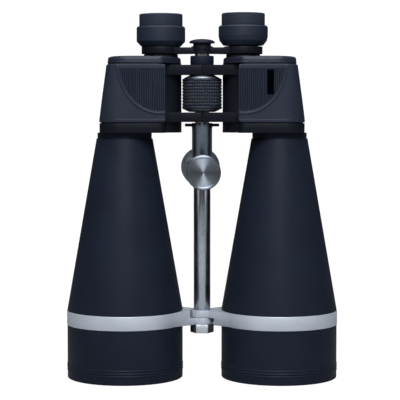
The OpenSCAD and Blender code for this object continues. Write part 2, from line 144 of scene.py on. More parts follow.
def carve(bm, cutters):
    """A new mesh: the closed mesh bm without the upright round cutters, each (x, y, radius, z0, z1)."""
    tool = bmesh.new()
    for x, y, radius, z0, z1 in cutters:
        add_lathe(tool, [(0, z0), (radius, z0), (radius, z1), (0, z1)], (x, y), 72, closed=False)
    bmesh.ops.remove_doubles(tool, verts=tool.verts, dist=1e-4)
    bmesh.ops.remove_doubles(bm, verts=bm.verts, dist=1e-4)
    made = []
    for label, source in (("carved", bm), ("cutter", tool)):
        bmesh.ops.recalc_face_normals(source, faces=source.faces)
        mesh = bpy.data.meshes.new(label)
        source.to_mesh(mesh)
        source.free()
        made.append(bpy.data.objects.new(label, mesh))
        bpy.context.collection.objects.link(made[-1])
    cut = made[0].modifiers.new("cut", "BOOLEAN")
    cut.operation = "DIFFERENCE"
    cut.solver = "EXACT"
    cut.object = made[1]
    result = bmesh.new()
    result.from_mesh(made[0].evaluated_get(bpy.context.evaluated_depsgraph_get()).to_mesh())
    for helper in made:
        bpy.data.objects.remove(helper)
    return result


def mirror_if_left(bm, side):
    if side == "left":
        bmesh.ops.scale(bm, vec=(-1, 1, 1), verts=bm.verts)


def lathe_piece(name, outline, node, material, body, steps=160):
    """A revolved piece on the axis of the CAD node that it replaces."""
    bm = bmesh.new()
    at = middle(node)
    add_lathe(bm, outline, (at[0], at[1]), steps)
    return finish_piece(name, bm, material, body, (node,))


def softened(node, material, body, width):
    """A copy of a CAD node with its hard edges rounded, which stands for that node."""
    hard_angle = math.radians(30)
    source = frame["nodes"][node]
    bm = bmesh.new()
    bm.from_mesh(source.data)
    bmesh.ops.scale(bm, vec=(1 / MM, 1 / MM, 1 / MM), verts=bm.verts)
    bmesh.ops.remove_doubles(bm, verts=bm.verts, dist=1e-3)
    bmesh.ops.dissolve_limit(bm, angle_limit=math.radians(0.5), verts=bm.verts, edges=bm.edges)
    hard = [e for e in bm.edges if len(e.link_faces) == 2 and e.calc_face_angle(0) > hard_angle]
    bmesh.ops.bevel(bm, geom=hard, offset=width, offset_type="OFFSET", segments=2, profile=0.5,
                    affect="EDGES", clamp_overlap=True)
    return finish_piece(f"{node}_finished", bm, material, body, (node,))


# ---------------------------------------------------------------- materials


class Nodes:
    """Short names for making shader nodes in one material."""

    # most of a noise texture's values lie between these, so they are what spread and colours stretch out
    NOISE_LOW = 0.3
    NOISE_HIGH = 0.7

    def __init__(self, name):
        self.material = bpy.data.materials.new(name)
        self.material.use_nodes = True
        self.tree = self.material.node_tree
        self.shader = self.tree.nodes["Principled BSDF"]
        self.place = self.tree.nodes.new("ShaderNodeTexCoord").outputs["Object"]

    def add(self, kind, inputs=None, **settings):
        made = self.tree.nodes.new(kind)
        for key, value in settings.items():
            setattr(made, key, value)
        for key, value in (inputs or {}).items():
            if isinstance(value, bpy.types.NodeSocket):
                self.tree.links.new(value, made.inputs[key])
            else:
                made.inputs[key].default_value = value
        return made

    def stretched(self, scale):
        return self.add("ShaderNodeMapping", {"Vector": self.place, "Scale": scale}).outputs["Vector"]

    def noise(self, scale, detail, rough=0.5, vector=None):
        inputs = {"Vector": vector or self.place, "Scale": scale, "Detail": detail, "Roughness": rough}
        return self.add("ShaderNodeTexNoise", inputs).outputs["Fac"]

    def cells(self, scale):
        inputs = {"Vector": self.place, "Scale": scale}
        return self.add("ShaderNodeTexVoronoi", inputs, feature="F1").outputs["Distance"]

    def spread(self, value, low, high):
        inputs = {"Value": value, "To Min": low, "To Max": high}
        inputs.update({"From Min": self.NOISE_LOW, "From Max": self.NOISE_HIGH})
        return self.add("ShaderNodeMapRange", inputs).outputs["Result"]

    def colours(self, value, first, second):
        ramp = self.add("ShaderNodeValToRGB", {"Fac": value})
        ends = ((self.NOISE_LOW, first), (self.NOISE_HIGH, second))
        for element, (position, colour) in zip(ramp.color_ramp.elements, ends):
            element.position = position
            element.color = (*colour, 1)
        return ramp.outputs["Color"]

    def bump(self, height, distance, strength, under=None):
        inputs = {"Height": height, "Distance": distance, "Strength": strength}
        if under:
            inputs["Normal"] = under
        return self.add("ShaderNodeBump", inputs).outputs["Normal"]

    def set(self, **values):
        for key, value in values.items():
            socket = self.shader.inputs[key.replace("_", " ")]
            if isinstance(value, bpy.types.NodeSocket):
                self.tree.links.new(value, socket)
            else:
                socket.default_value = value
        return self.material


def shade(colour, factor):
    return tuple(min(1.0, c * factor) for c in colour)


def grained(name, colour, roughness, grain, depth, metallic=0.0, vary=0.12, specular=0.5):
    """A moulded or painted surface: fine grain, cloudy colour and uneven gloss."""
    n = Nodes(name)
    cloud = n.noise(38, 4)
    fine = n.noise(grain, 2, 0.6)
    coarse = n.cells(grain * 0.55)
    bump = n.bump(fine, depth, 0.8)
    bump = n.bump(coarse, depth * 0.7, 0.5, bump)
    return n.set(
        Base_Color=n.colours(cloud, shade(colour, 1 - vary), shade(colour, 1 + vary)),
        Roughness=n.spread(fine, roughness - 0.07, roughness + 0.07),
        Metallic=metallic,
        Specular_IOR_Level=specular,
        Normal=bump,
    )


def turned(name, colour, roughness, stretch):
    """Metal with fine machining lines, drawn out along the axes where stretch is under 1."""
    n = Nodes(name)
    lines = n.noise(900, 3, 0.6, n.stretched(stretch))
    cloud = n.noise(55, 3)
    return n.set(
        Base_Color=n.colours(cloud, shade(colour, 0.93), shade(colour, 1.05)),
        Roughness=n.spread(lines, roughness - 0.06, roughness + 0.1),
        Metallic=1.0,
        Normal=n.bump(lines, 0.00002, 0.5),
    )


def spun(name, colour, roughness):
    """Metal whose machining lines run in circles, so that its highlights fan out from the middle."""
    n = Nodes(name)
    cloud = n.noise(55, 3)
    lines = n.noise(2400, 2)
    circles = n.add("ShaderNodeTangent", direction_type="RADIAL", axis="Y").outputs["Tangent"]
    return n.set(
        Base_Color=n.colours(cloud, shade(colour, 0.94), shade(colour, 1.06)),
        Roughness=n.spread(lines, roughness - 0.05, roughness + 0.05),
        Metallic=1.0,
        Anisotropic=0.85,
        Anisotropic_Rotation=0.25,
        Tangent=circles,
    )


def coated_glass(name, tint):
    """Glass with a green coating and a faint smear."""
    n = Nodes(name)
    smear = n.noise(70, 3)
    return n.set(
        Base_Color=(*tint, 1),
        Roughness=n.spread(smear, 0.02, 0.05),
        Transmission_Weight=0.85,
        IOR=1.52,
        Coat_Weight=0.6,
        Coat_Tint=(0.45, 0.95, 0.6, 1),
        Coat_Roughness=0.02,
    )


PAINT = grained("black_crinkle_paint", (0.0068, 0.0090, 0.0165), 0.5, 2600, 0.00003, specular=0.07)
HOUSING = grained("housing_paint", (0.0035, 0.0044, 0.0075), 0.5, 2600, 0.00003, specular=0.08)
ARMOUR = grained("armour_rubber", (0.0085, 0.0118, 0.0215), 0.6, 900, 0.00012, specular=0.18)
# a darker, duller copy of the armour rubber for the faces deep in the ribs' grooves: painted shade in the
# grooves
GROOVE_SHADE = grained("groove_rubber_painted_shade", (0.0070, 0.0098, 0.0180), 0.7, 900, 0.00012, specular=0.05)
COVER = grained("cover_plastic", (0.0085, 0.0110, 0.0200), 0.5, 2200, 0.00003, specular=0.2)
BAND = grained("band_rubber", (0.0080, 0.0115, 0.0210), 0.55, 2400, 0.00002, specular=0.18)
CUP = grained("cup_rubber", (0.0125, 0.0165, 0.0260), 0.66, 2000, 0.00003, specular=0.15)
INNER = grained("inner_black", (0.004, 0.004, 0.006), 0.7, 1800, 0.00002, specular=0.15)
WHEEL = grained("wheel_rubber", (0.0085, 0.0110, 0.0180), 0.45, 2200, 0.00002, specular=0.3)
PLATE = grained("blank_plate", (0.0004, 0.0005, 0.0014), 0.5, 3000, 0.00001, specular=0.0)
SILVER = grained("silver_paint", (0.36, 0.385, 0.43), 0.42, 3200, 0.00001, metallic=0.3, vary=0.05)
ROD_METAL = turned("rod_metal", (0.40, 0.44, 0.48), 0.26, (1, 1, 0.03))
SOCKET_METAL = turned("socket_metal", (0.15, 0.175, 0.21), 0.34, (1, 1, 0.03))
NUT_METAL = turned("nut_metal", (0.54, 0.57, 0.62), 0.4, (1, 1, 0.2))
KNOB_METAL = spun("knob_metal", (0.165, 0.182, 0.205), 0.42)
POST_METAL = turned("post_metal", (0.17, 0.195, 0.225), 0.36, (1, 0.05, 1))
CONE_METAL = turned("cone_metal", (0.34, 0.37, 0.41), 0.45, (1, 1, 0.3))
STEEL = turned("inner_steel", (0.4, 0.41, 0.43), 0.35, (1, 1, 0.2))
BLACK_STEEL = turned("black_steel", (0.05, 0.05, 0.055), 0.4, (1, 1, 0.2))
BRASS = turned("bush_brass", (0.6, 0.48, 0.24), 0.3, (1, 1, 0.1))
LENS = coated_glass("coated_lens", (0.6, 0.75, 0.68))
PRISM = coated_glass("prism_glass", (0.9, 0.95, 0.95))

# ---------------------------------------------------------------- objective barrels


def barrel_outline():
    """Section of the barrel, from the lip round the outside and back down the inside."""
    bead = 0.55
    return rounded([
        (45.8, 0.0, 0.3), (47.8, 0.0, 0.9), (47.8, 6.3, 0.2),
        (48.25, 7.0, bead), (47.75, 8.15, 0.3), (48.25, 9.3, bead), (47.75, 10.45, 0.3),
        (48.25, 11.6, bead),
        (47.8, 12.5, 0.2), (47.8, 44.1, 0.25), (46.7, 44.15), (46.7, 55.8), (47.75, 55.85, 0.25),
        (47.75, 56.6, 0.4), (23.15, 197.7, 0.45), (22.4, 197.8), (22.4, 202.5), (20.5, 202.5),
        (20.5, 197.8), (44.8, 57.3), (44.8, 40.0), (45.8, 40.0),
    ])


def make_barrel(side):
    node = f"{side}_objective_barrel"
    return lathe_piece(f"{node}_shell", barrel_outline(), node, PAINT, f"{side} half", 256)


def arc_face(radius, z, curve):
    """Points from the axis to the rim of a lens face whose middle is at z. A positive curve bulges down."""
    steps = 14
    reach = [radius * k / steps for k in range(steps + 1)]
    return [(r, z + math.copysign(abs(curve) - math.sqrt(curve ** 2 - r ** 2), curve)) for r in reach]


def make_lens(node, body, low_curve, high_curve):
    """Solid lens between its node's lowest and highest points."""
    low, high = low_high(node)
    radius = (high[0] - low[0]) / 2
    under = arc_face(radius, low[2], low_curve)
    over = arc_face(radius, high[2], high_curve)
    bm = bmesh.new()
    at = middle(node)
    add_lathe(bm, under + over[::-1], (at[0], at[1]), 96, closed=False)
    return finish_piece(f"{node}_ground", bm, LENS, body, (node,))


# ---------------------------------------------------------------- rubber armour

# the plan at the foot: its inner end, half its depth, and its outer end, which leans inward by the taper
ARMOUR_IN = 29.4
ARMOUR_HALF = 28.0
ARMOUR_OUT_LOW = 84.2
ARMOUR_TAPER = 6.6
# radii of the outer corners, and of the crease where a corner meets the leaning end
ARMOUR_ROUND = 17.0
ARMOUR_CREASE = 9.0
ARMOUR_THICK = 1.42
# radii of the skin's rounded edges, and of its inner end's corners at the bottom and the top
ARMOUR_EDGE = 0.9
END_CORNER_LOW = 3.6
END_CORNER_TOP = 1.6
# the ridge is a quarter ellipse, hooked outward where it crosses the plain band at the top
RIDGE_CENTRE = (34.0, 258.0)
RIDGE_RADII = (34.2, 39.6)
RIDGE_HOOK = 0.22
RIDGE_RISE = 0.7
RIDGE_HALF_WIDTH = 0.95
TOP_BAND = 3.2
FOOT_RISE = 0.42
# the first rib's crest is this far from the inner end
RIB_START = 0.85
RIB_PITCH = 1.74
RIB_COUNT = 22
GROOVE_DEPTH = 0.8
# rows that would pass outside a round corner lie along it, at this share of their spacing
ROW_GATHER = 0.02
# the relief fades out round the corners, and is gone where the normal's x is this
RELIEF_FADE = 0.3


def smooth(low, high, value):
    """0 up to low and 1 from high on, with an S curve between. low may be the larger one."""
    share = min(1.0, max(0.0, (value - low) / (high - low)))
    return share * share * (3 - 2 * share)


def armour_relief(x, z, bottom, top):
    """How far the armour's front stands out at a place.

    Upright ribs fill a sunk field inside a quarter-ellipse ridge, and the armour's foot is a thicker band.
    """
    x_ridge = x - RIDGE_HOOK * max(0.0, z - (top - TOP_BAND)) ** 2
    dx = (x_ridge - RIDGE_CENTRE[0]) / RIDGE_RADII[0]
    dz = (z - RIDGE_CENTRE[1]) / RIDGE_RADII[1]
    inward = (1 - math.hypot(dx, dz)) * sum(RIDGE_RADII) / 2
    foot = FOOT_RISE * smooth(bottom + 2.75, bottom + 2.45, z)
    ridge = RIDGE_RISE * math.sqrt(max(0.0, 1 - (inward / RIDGE_HALF_WIDTH) ** 2))
    field = smooth(1.4, 2.2, inward) * smooth(top - TOP_BAND, top - TOP_BAND - 0.5, z)
    across = (x - ARMOUR_IN - RIB_START) / RIB_PITCH
    wave = 0.5 + 0.5 * math.cos(TAU * across)
    rib = smooth(0.25, 0.75, wave) if across < RIB_COUNT else 0.0
    return max(foot, ridge) + field * GROOVE_DEPTH * (rib - 1)


def armour_path(height_share):
    """The plan at a share of the height, as a list of (x, y, normal x, normal y).

    It runs from the inner end of the front, round the outer end, to the inner end of the back.
    """
    out = ARMOUR_OUT_LOW - ARMOUR_TAPER * height_share
    centre_x = ARMOUR_OUT_LOW - ARMOUR_ROUND
    centre_y = ARMOUR_HALF - ARMOUR_ROUND
    # the crease between the corner's arc and the leaning end is rounded by a smaller arc
    small_x = out - ARMOUR_CREASE
    lean = math.acos(min(1.0, (small_x - centre_x) / (ARMOUR_ROUND - ARMOUR_CREASE)))
    small_y = centre_y + (ARMOUR_ROUND - ARMOUR_CREASE) * math.sin(lean)
    quarter = []
    edge_steps, flat_steps, arc_steps, crease_steps = 10, 220, 14, 10
    # points gather towards the rounded edge at the inner end
    edge_reach = 1.2
    for k in range(edge_steps):
        quarter.append((ARMOUR_IN + edge_reach * (k / edge_steps) ** 2, -ARMOUR_HALF, 0, -1))
    for k in range(flat_steps + 1):
        along = (centre_x - ARMOUR_IN - edge_reach) * k / flat_steps
        quarter.append((ARMOUR_IN + edge_reach + along, -ARMOUR_HALF, 0, -1))
    for k in range(1, arc_steps + 1):
        turn = -math.pi / 2 + (math.pi / 2 - lean) * k / arc_steps
        nx, ny = math.cos(turn), math.sin(turn)
        quarter.append((centre_x + ARMOUR_ROUND * nx, -centre_y + ARMOUR_ROUND * ny, nx, ny))
    for k in range(1, crease_steps + 1):
        turn = -lean * (1 - k / crease_steps)
        nx, ny = math.cos(turn), math.sin(turn)
        quarter.append((small_x + ARMOUR_CREASE * nx, -small_y + ARMOUR_CREASE * ny, nx, ny))
    back = [(x, -y, nx, -ny) for x, y, nx, ny in reversed(quarter)]
    return quarter + back


def armour_rows(low, high):
    """Heights of the rows, closer together at the rounded bottom and top edges."""
    edge = [0.0, 0.08, 0.22, 0.42, 0.66]
    steps = 150
    inner = [low + ARMOUR_EDGE + (high - low - 2 * ARMOUR_EDGE) * k / steps for k in range(steps + 1)]
    return [low + e for e in edge] + inner + [high - e for e in reversed(edge)]


def round_drop(distance, radius):
    """How far a rounded edge has dropped at a distance in from its end."""
    return radius - math.sqrt(max(0.0, radius ** 2 - (radius - distance) ** 2))


def armour_row(z, bottom, top):
    """One row of the skin round its plan: a list of (outer point, inner point, is it in a groove and so
    painted in shade).
    """
    sink_z = round_drop(min(z - bottom, top - z, ARMOUR_EDGE), ARMOUR_EDGE)
    row = []
    for x, y, nx, ny in armour_path((z - bottom) / (top - bottom)):
        from_end = x - ARMOUR_IN
        z_here = z
        if from_end < END_CORNER_LOW:
            z_here = max(z_here, bottom + round_drop(from_end, END_CORNER_LOW) + (z - bottom) * ROW_GATHER)
        if from_end < END_CORNER_TOP:
            z_here = min(z_here, top - round_drop(from_end, END_CORNER_TOP) - (top - z) * ROW_GATHER)
        sink_x = round_drop(min(from_end, ARMOUR_EDGE), ARMOUR_EDGE)
        facing = 1 - smooth(0.0, RELIEF_FADE, abs(nx))
        relief = armour_relief(x, z_here, bottom, top) * facing if facing > 0 else 0.0
        reach = relief - min(ARMOUR_THICK - 0.3, sink_z + sink_x)
        outer = (x + nx * reach, y + ny * reach, z_here)
        inner = (x - nx * ARMOUR_THICK, y - ny * ARMOUR_THICK, z_here)
        row.append((outer, inner, relief < -0.5 * GROOVE_DEPTH))
    return row


def add_skin_faces(bm, outer, inner, sunk):
    """Closes a skin between rows of outer and inner points. Faces in grooves take the second material, a
    darker rubber that paints shade into the grooves.
    """
    rows, columns = len(outer), len(outer[0])
    for i in range(rows - 1):
        for j in range(columns - 1):
            face = bm.faces.new((outer[i][j], outer[i][j + 1], outer[i + 1][j + 1], outer[i + 1][j]))
            # faces deep in a groove take the darker rubber, which is painted shade
            face.material_index = 1 if sunk[i][j] and sunk[i][j + 1] and sunk[i + 1][j] else 0
    # the hidden face needs only its edges, because its sides are straight from the first row to the last
    for row in inner[1:-1]:
        for vert in row[1:-1]:
            bm.verts.remove(vert)
    first, last = inner[0], inner[-1]
    for j in range(1, columns - 2):
        bm.faces.new((first[j], last[j], last[j + 1], first[j + 1]))
    for j in range(columns - 1):
        bm.faces.new((outer[0][j + 1], outer[0][j], first[j], first[j + 1]))
        bm.faces.new((outer[-1][j], outer[-1][j + 1], last[j + 1], last[j]))
    for j in (0, columns - 1):
        for i in range(rows - 1):
            bm.faces.new((outer[i][j], outer[i + 1][j], inner[i + 1][j], inner[i][j]))
    for j, step in ((0, 1), (columns - 1, -1)):
        bm.faces.new([row[j] for row in inner] + [last[j + step], first[j + step]])


def make_armour(side):
    """Rubber skin round a housing's front, outer end and back, with the same relief in front and behind."""
    node = f"{side}_armour"
    low, high = low_high(node)
    bm = bmesh.new()
    outer, inner, sunk = [], [], []
    for z in armour_rows(low[2], high[2]):
        row = armour_row(z, low[2], high[2])
        verts = [(bm.verts.new(over), bm.verts.new(under)) for over, under, _ in row]
        outer.append([over for over, _ in verts])
        inner.append([under for _, under in verts])
        sunk.append([in_groove for _, _, in_groove in row])
    add_skin_faces(bm, outer, inner, sunk)
    mirror_if_left(bm, side)
    skin = finish_piece(f"{node}_skin", bm, ARMOUR, f"{side} half", (node,), 60)
    # the second material darkens the grooves with painted shade
    skin.data.materials.append(GROOVE_SHADE)
    return skin


# ---------------------------------------------------------------- top covers


COVER_HUB = (48.0, 3.0)
COVER_OUT = 77.3
COVER_HALF = 26.5
# (x, y, radius) of the lobe round the eyepiece and of the hole for its guide tube
LOBE = (34.0, 6.0, 16.7)
GUIDE_HOLE = (34.0, 6.0, 14.1)
SCREWS = [(41, 22.5), (41, -22.5), (66, 22.5), (66, -22.5)]
SCREW_HOLE = 2.2


def exit_distance(outline, start, heading):
    """How far a ray from start runs before it last crosses an outline, or 0 if it misses."""
    furthest = 0.0
    for a, b in zip(outline, outline[1:] + outline[:1]):
        along = Vector(b) - Vector(a)
        to_a = Vector(a) - start
        turn = heading.cross(along)
        if abs(turn) < 1e-9:
            continue
        share = to_a.cross(heading) / turn
        if -1e-6 <= share <= 1 + 1e-6:
            furthest = max(furthest, to_a.cross(along) / turn)
    return furthest


def cover_reach(inset, steps):
    """Distances from the cover's hub to its edge: a block, the eyepiece's lobe and a web between them."""
    low, high, half = ARMOUR_IN + inset, COVER_OUT - inset, COVER_HALF - inset
    inner_round, outer_round = 6 - inset, 17 - inset
    block = rounded([(low, -half, inner_round), (high, -half, outer_round), (high, half, outer_round),
                     (low, half, inner_round)], 12)
    lobe_steps = 48
    angles = [TAU * k / lobe_steps for k in range(lobe_steps)]
    radius = LOBE[2] - inset
    lobe = [(LOBE[0] + radius * math.cos(a), LOBE[1] + radius * math.sin(a)) for a in angles]
    # the web lies along the line that touches both the block's inner front corner and the lobe
    corner = Vector((low + inner_round, inner_round - half))
    centre = Vector(LOBE[:2])
    run = centre - corner
    turn = math.atan2(run[1], run[0]) + math.pi / 2 + math.asin((radius - inner_round) / run.length)
    out = Vector((math.cos(turn), math.sin(turn)))
    web = [corner, corner + inner_round * out, centre + radius * out, centre]
    start = Vector(COVER_HUB)
    reach = []
    for k in range(steps):
        heading = Vector((math.cos(TAU * k / steps), math.sin(TAU * k / steps)))
        reach.append(max(exit_distance(shape, start, heading) for shape in (block, lobe, web)))
    return reach


def make_top_cover(side):
    """Low domed lid with a lip round its foot, holes for the screws and a hole for the eyepiece's guide."""
    node = f"{side}_top_cover"
    low, high = low_high(node)
    foot = low[2]
    rise = high[2] - foot
    steps = 240
    # the edge is (inset, share of the height), and the dome is (share of the plan, share of the height)
    edge = [(0.35, 0.0), (0.0, 0.05), (0.0, 0.17), (0.22, 0.21), (0.3, 0.5), (0.5, 0.63), (0.95, 0.73),
            (1.7, 0.8), (2.9, 0.85), (4.4, 0.89)]
    dome = [(0.8, 0.94), (0.55, 0.975), (0.3, 0.995)]
    bm = bmesh.new()
    rings = []
    for inset, share in edge:
        rings.append([(r, foot + rise * share) for r in cover_reach(inset, steps)])
    rings += [[(r * scale, foot + rise * share) for r, _ in rings[len(edge) - 1]] for scale, share in dome]
    loops = []
    for ring in rings:
        loop = []
        for k, (r, z) in enumerate(ring):
            angle = TAU * k / steps
            x = COVER_HUB[0] + r * math.cos(angle)
            y = COVER_HUB[1] + r * math.sin(angle)
            loop.append(bm.verts.new((x, y, z)))
        loops.append(loop)
    peak = bm.verts.new((*COVER_HUB, foot + rise))
    base = bm.verts.new((*COVER_HUB, foot))
    for k in range(steps):
        m = (k + 1) % steps
        for under, over in zip(loops, loops[1:]):
            bm.faces.new((under[k], under[m], over[m], over[k]))
        bm.faces.new((loops[-1][k], loops[-1][m], peak))
        bm.faces.new((loops[0][m], loops[0][k], base))
    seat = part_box(f"{side}_cover_screws")[1][2] / MM - 1
    cutters = [(*GUIDE_HOLE, foot - 1, foot + rise + 1)]
    cutters += [(x, y, SCREW_HOLE, seat, foot + rise + 1) for x, y in SCREWS]
    bm = carve(bm, cutters)
    mirror_if_left(bm, side)
    return finish_piece(f"{node}_dome", bm, COVER, f"{side} half", (node,), 35)


# ---------------------------------------------------------------- focus wheel

WHEEL_COLUMNS = 44
WHEEL_ROWS = 8
BLOCK_HEIGHT = 0.72
# shares of half a block's pitch: where its side meets the floor, and where it meets the top
BLOCK_SIDES = (0.84, 0.66)
# lathe steps and outline points for each block
BLOCK_STEPS = 8


def wheel_ripple(radius, grip_low, grip_high):
    """The ripple that raises a grid of blocks on the grip, for add_lathe."""
    below_grip = radius - 0.9

    def ripple(angle, r, z):
        if r < below_grip or not grip_low < z < grip_high:
            return 0
        row = (z - grip_low) / (grip_high - grip_low) * WHEEL_ROWS
        column = angle / TAU * WHEEL_COLUMNS
        up = abs(row % 1 - 0.5) * 2
        along = abs(column % 1 - 0.5) * 2
        return BLOCK_HEIGHT * smooth(*BLOCK_SIDES, up) * smooth(*BLOCK_SIDES, along)

    return ripple


def make_focus_wheel():
    """Rubber grip, with raised blocks between two plain rims, on a metal core with a cone at each end."""
    low, high = low_high("focus_wheel")
    radius = (high[0] - low[0]) / 2
    bottom, top = low[2], high[2]
    grip_low, grip_high = bottom + 5.0, top - 4.6
    floor = radius - BLOCK_HEIGHT
    count = WHEEL_ROWS * BLOCK_STEPS
    grip = [(floor, grip_low + (grip_high - grip_low) * k / count) for k in range(count + 1)]
    under = rounded([(11.5, bottom + 2.3), (15.5, bottom + 2.3, 0.2), (radius, bottom + 3.0, 0.5),
                     (radius, grip_low - 0.3, 0.25), (floor, grip_low - 0.25)])
    over = rounded([(floor, grip_high + 0.25), (radius, grip_high + 0.3, 0.25), (radius, top - 3.4, 0.5),
                    (15.5, top - 2.7, 0.2), (11.5, top - 2.7)])
    bm = bmesh.new()
    add_lathe(bm, under[:-1] + grip + over[1:], (0, 0), WHEEL_COLUMNS * BLOCK_STEPS,
              ripple=wheel_ripple(radius, grip_low, grip_high))
    finish_piece("focus_wheel_grip", bm, WHEEL, "focus wheel", ("focus_wheel",), 55)
    core = rounded([(6.05, bottom), (10.3, bottom, 0.3), (15.4, bottom + 2.2, 0.2), (11.4, bottom + 2.4),
                    (11.4, top - 2.8), (15.4, top - 2.6, 0.2), (10.3, top, 0.3), (6.05, top)])
    bm = bmesh.new()
    add_lathe(bm, core, (0, 0), 128)
    finish_piece("focus_wheel_cones", bm, CONE_METAL, "focus wheel", ("focus_wheel",), 25)


# ---------------------------------------------------------------- eyepieces


def make_eyecup(side):
    """Rubber cup: a short narrow foot, a plain wall and a lip that turns inward at the top."""
    node = f"{side}_eyecup"
    low, high = low_high(node)
    radius = (high[0] - low[0]) / 2
    rim = low[2] + 3.2
    outline = rounded([
        (15.05, low[2]), (17.2, low[2], 0.3), (17.2, rim), (radius, rim, 0.2), (radius, high[2], 1.0),
        (14.0, high[2], 1.1), (14.0, high[2] - 2.2, 0.4), (15.05, high[2] - 2.2),
    ])
    return lathe_piece(f"{node}_rubber", outline, node, CUP, f"{side} eyecup")


def make_grip_band(side):
    """Rubber band of an eyepiece. The right one is the diopter ring, whose foot is a little narrower."""
    node = f"{side}_grip_band"
    low, high = low_high(node)
    radius = (high[0] - low[0]) / 2
    foot = radius - (0.8 if side == "right" else 0.0)
    bottom, top = low[2], high[2]
    seat = top - 11.5
    outline = rounded([
        (12.05, bottom), (16.6, bottom, 0.5), (foot, bottom + 3.9, 0.9), (radius, bottom + 7.8, 0.8),
        (radius, top - 1.2, 0.5), (radius - 1.1, top, 0.4), (18.25, top, 0.2), (18.25, seat), (12.05, seat),
    ])
    body = "diopter ring" if side == "right" else "left eyepiece"
    return lathe_piece(f"{node}_rubber", outline, node, BAND, body)


def make_bridge_cap():
    """Domed cap over the middle of the focus bridge, on a neck with a disc at its foot."""
    low, high = low_high("bridge_cap")
    bottom, top = low[2], high[2]
    rim = bottom + 3.3
    shoulder = rim + 1.0
    dome_radius = 10.35
    dome_steps = 12
    dome = []
    for k in range(dome_steps + 1):
        turn = math.pi / 2 * (1 - k / dome_steps)
        dome.append((dome_radius * math.sin(turn), shoulder + (top - shoulder) * math.cos(turn)))
    outline = rounded([(0, bottom), (8.9, bottom, 0.2), (8.9, bottom + 0.7, 0.2), (7.4, bottom + 0.8, 0.2),
                       (7.4, rim - 0.3, 0.3), (10.5, rim, 0.25), (10.5, rim + 0.7, 0.25),
                       (dome_radius, shoulder)])
    bm = bmesh.new()
    add_lathe(bm, outline[:-1] + dome, (0, 0), 96, closed=False)
    return finish_piece("bridge_cap_dome", bm, PAINT, "left eyepiece", ("bridge_cap",))


# ---------------------------------------------------------------- lock knob

KNOB_TEETH = 54
TOOTH_DEPTH = 0.55
# distance of the knob's face from the hinge axis, and the post's turn about that axis
KNOB_FRONT = 35.0
KNOB_SIDEWAYS = math.radians(2)
KNOB_THICK = 12.5
KNOB_RADIUS = 14.1
# fine circles turned into the sunk middle of the face
FACE_SINK = 0.35
CIRCLE_COUNT = 31
CIRCLE_START = 1.2
CIRCLE_PITCH = 0.35
CIRCLE_DEPTH = 0.03


def knob_tooth(angle, r, z):
    """The ripple that cuts the knurl into the knob's rim, for add_lathe."""
    on_rim = 1.4 < z < KNOB_THICK - 1.4 and r > KNOB_RADIUS - 0.8
    return -TOOTH_DEPTH * (0.5 - 0.5 * math.cos(angle * KNOB_TEETH)) ** 0.8 if on_rim else 0


def make_lock_knob():
    """Knurled knob with a turned face and a dimple, on its screw. It is built upright and laid down."""
    low, high = low_high("lock_knob")
    height = (low[2] + high[2]) / 2
    radius, thick = KNOB_RADIUS, KNOB_THICK
    circles = [(CIRCLE_START + CIRCLE_PITCH * k, FACE_SINK + (CIRCLE_DEPTH if k % 2 else 0.0))
               for k in range(CIRCLE_COUNT)]
    dimple = [(0, 0.8), (0.4, 0.7), (0.8, 0.4)]
    lip = [(12.3, 0.0), (13.1, 0.0), (13.7, FACE_SINK), (radius, 1.0)]
    rim = [(radius, 1.35), (radius, 1.5), (radius, 4), (radius, 6), (radius, 8.5), (radius, thick - 1.5),
           (radius, thick - 1.3), (radius, thick - 0.9), (radius - 0.7, thick - 0.1), (radius - 1.4, thick)]
    neck = [(7.6, thick), (7.5, thick + 0.3), (7.5, 17.3), (7.2, 17.7), (2.5, 17.7), (2.5, 26.0), (0, 26.0)]
    outline = dimple + circles + lip + rim + neck
    bm = bmesh.new()
    add_lathe(bm, outline, (0, 0), KNOB_TEETH * 8, closed=False, ripple=knob_tooth)
    lay = Matrix.Rotation(KNOB_SIDEWAYS, 4, "Z") @ Matrix.Translation((0, -KNOB_FRONT, height)) \
        @ Matrix.Rotation(-math.pi / 2, 4, "X")
    bmesh.ops.transform(bm, matrix=lay, verts=bm.verts)
    return finish_piece("lock_knob_turned", bm, KNOB_METAL, "lock knob", ("lock_knob",), 30)


# ---------------------------------------------------------------- CAD shapes with softened edges

# one for each side: (material, slot, width of the rounded edges)
SOFTENED = {
    "brace_ring": (SILVER, "satin_silver", 0.5),
    "prism_housing": (HOUSING, "body_paint", 0.6),
    "bridge_arm": (HOUSING, "body_paint", 0.4),
    "guide_tube": (INNER, "inner_black", 0.2),
    "cover_screws": (BLACK_STEEL, "black_steel", 0.15),
}
# one of a kind: (material, slot, width of the rounded edges, body)
SOFTENED_MIDDLE = {
    "brace_rod": (ROD_METAL, "rod_metal", 0.4, "left half"),
    "rod_nut": (NUT_METAL, "rod_metal", 0.35, "left half"),
    "rod_socket": (SOCKET_METAL, "rod_metal", 0.4, "left half"),
    "hinge_washer": (INNER, "inner_black", 0.3, "left half"),
    "hinge_collar": (PAINT, "body_paint", 0.7, "left half"),
    "tripod_post": (POST_METAL, "post_metal", 0.6, "tripod post"),
    "slider_bush": (BRASS, "bush_brass", 0.3, "post slider"),
    "name_plate": (PLATE, "plate_plastic", 0.12, "right half"),
}
# CAD meshes that only take a material: one for each side, and below those on the hinge axis
KEPT = {
    "objective_cell": INNER, "retaining_ring": INNER, "prism_shelf": STEEL, "upper_prism": PRISM,
    "lower_prism": PRISM, "eyepiece_barrel": INNER, "ocular_cell": INNER, "eyecup_sleeve": INNER,
}
KEPT_MIDDLE = {"hinge_axle": STEEL, "focus_spindle": STEEL}


def body_with(node):
    """The body that the record puts a CAD node in."""
    bodies = frame["record"]["behaviour"]["bodies"]
    return next(name for name, nodes in bodies.items() if node in nodes)


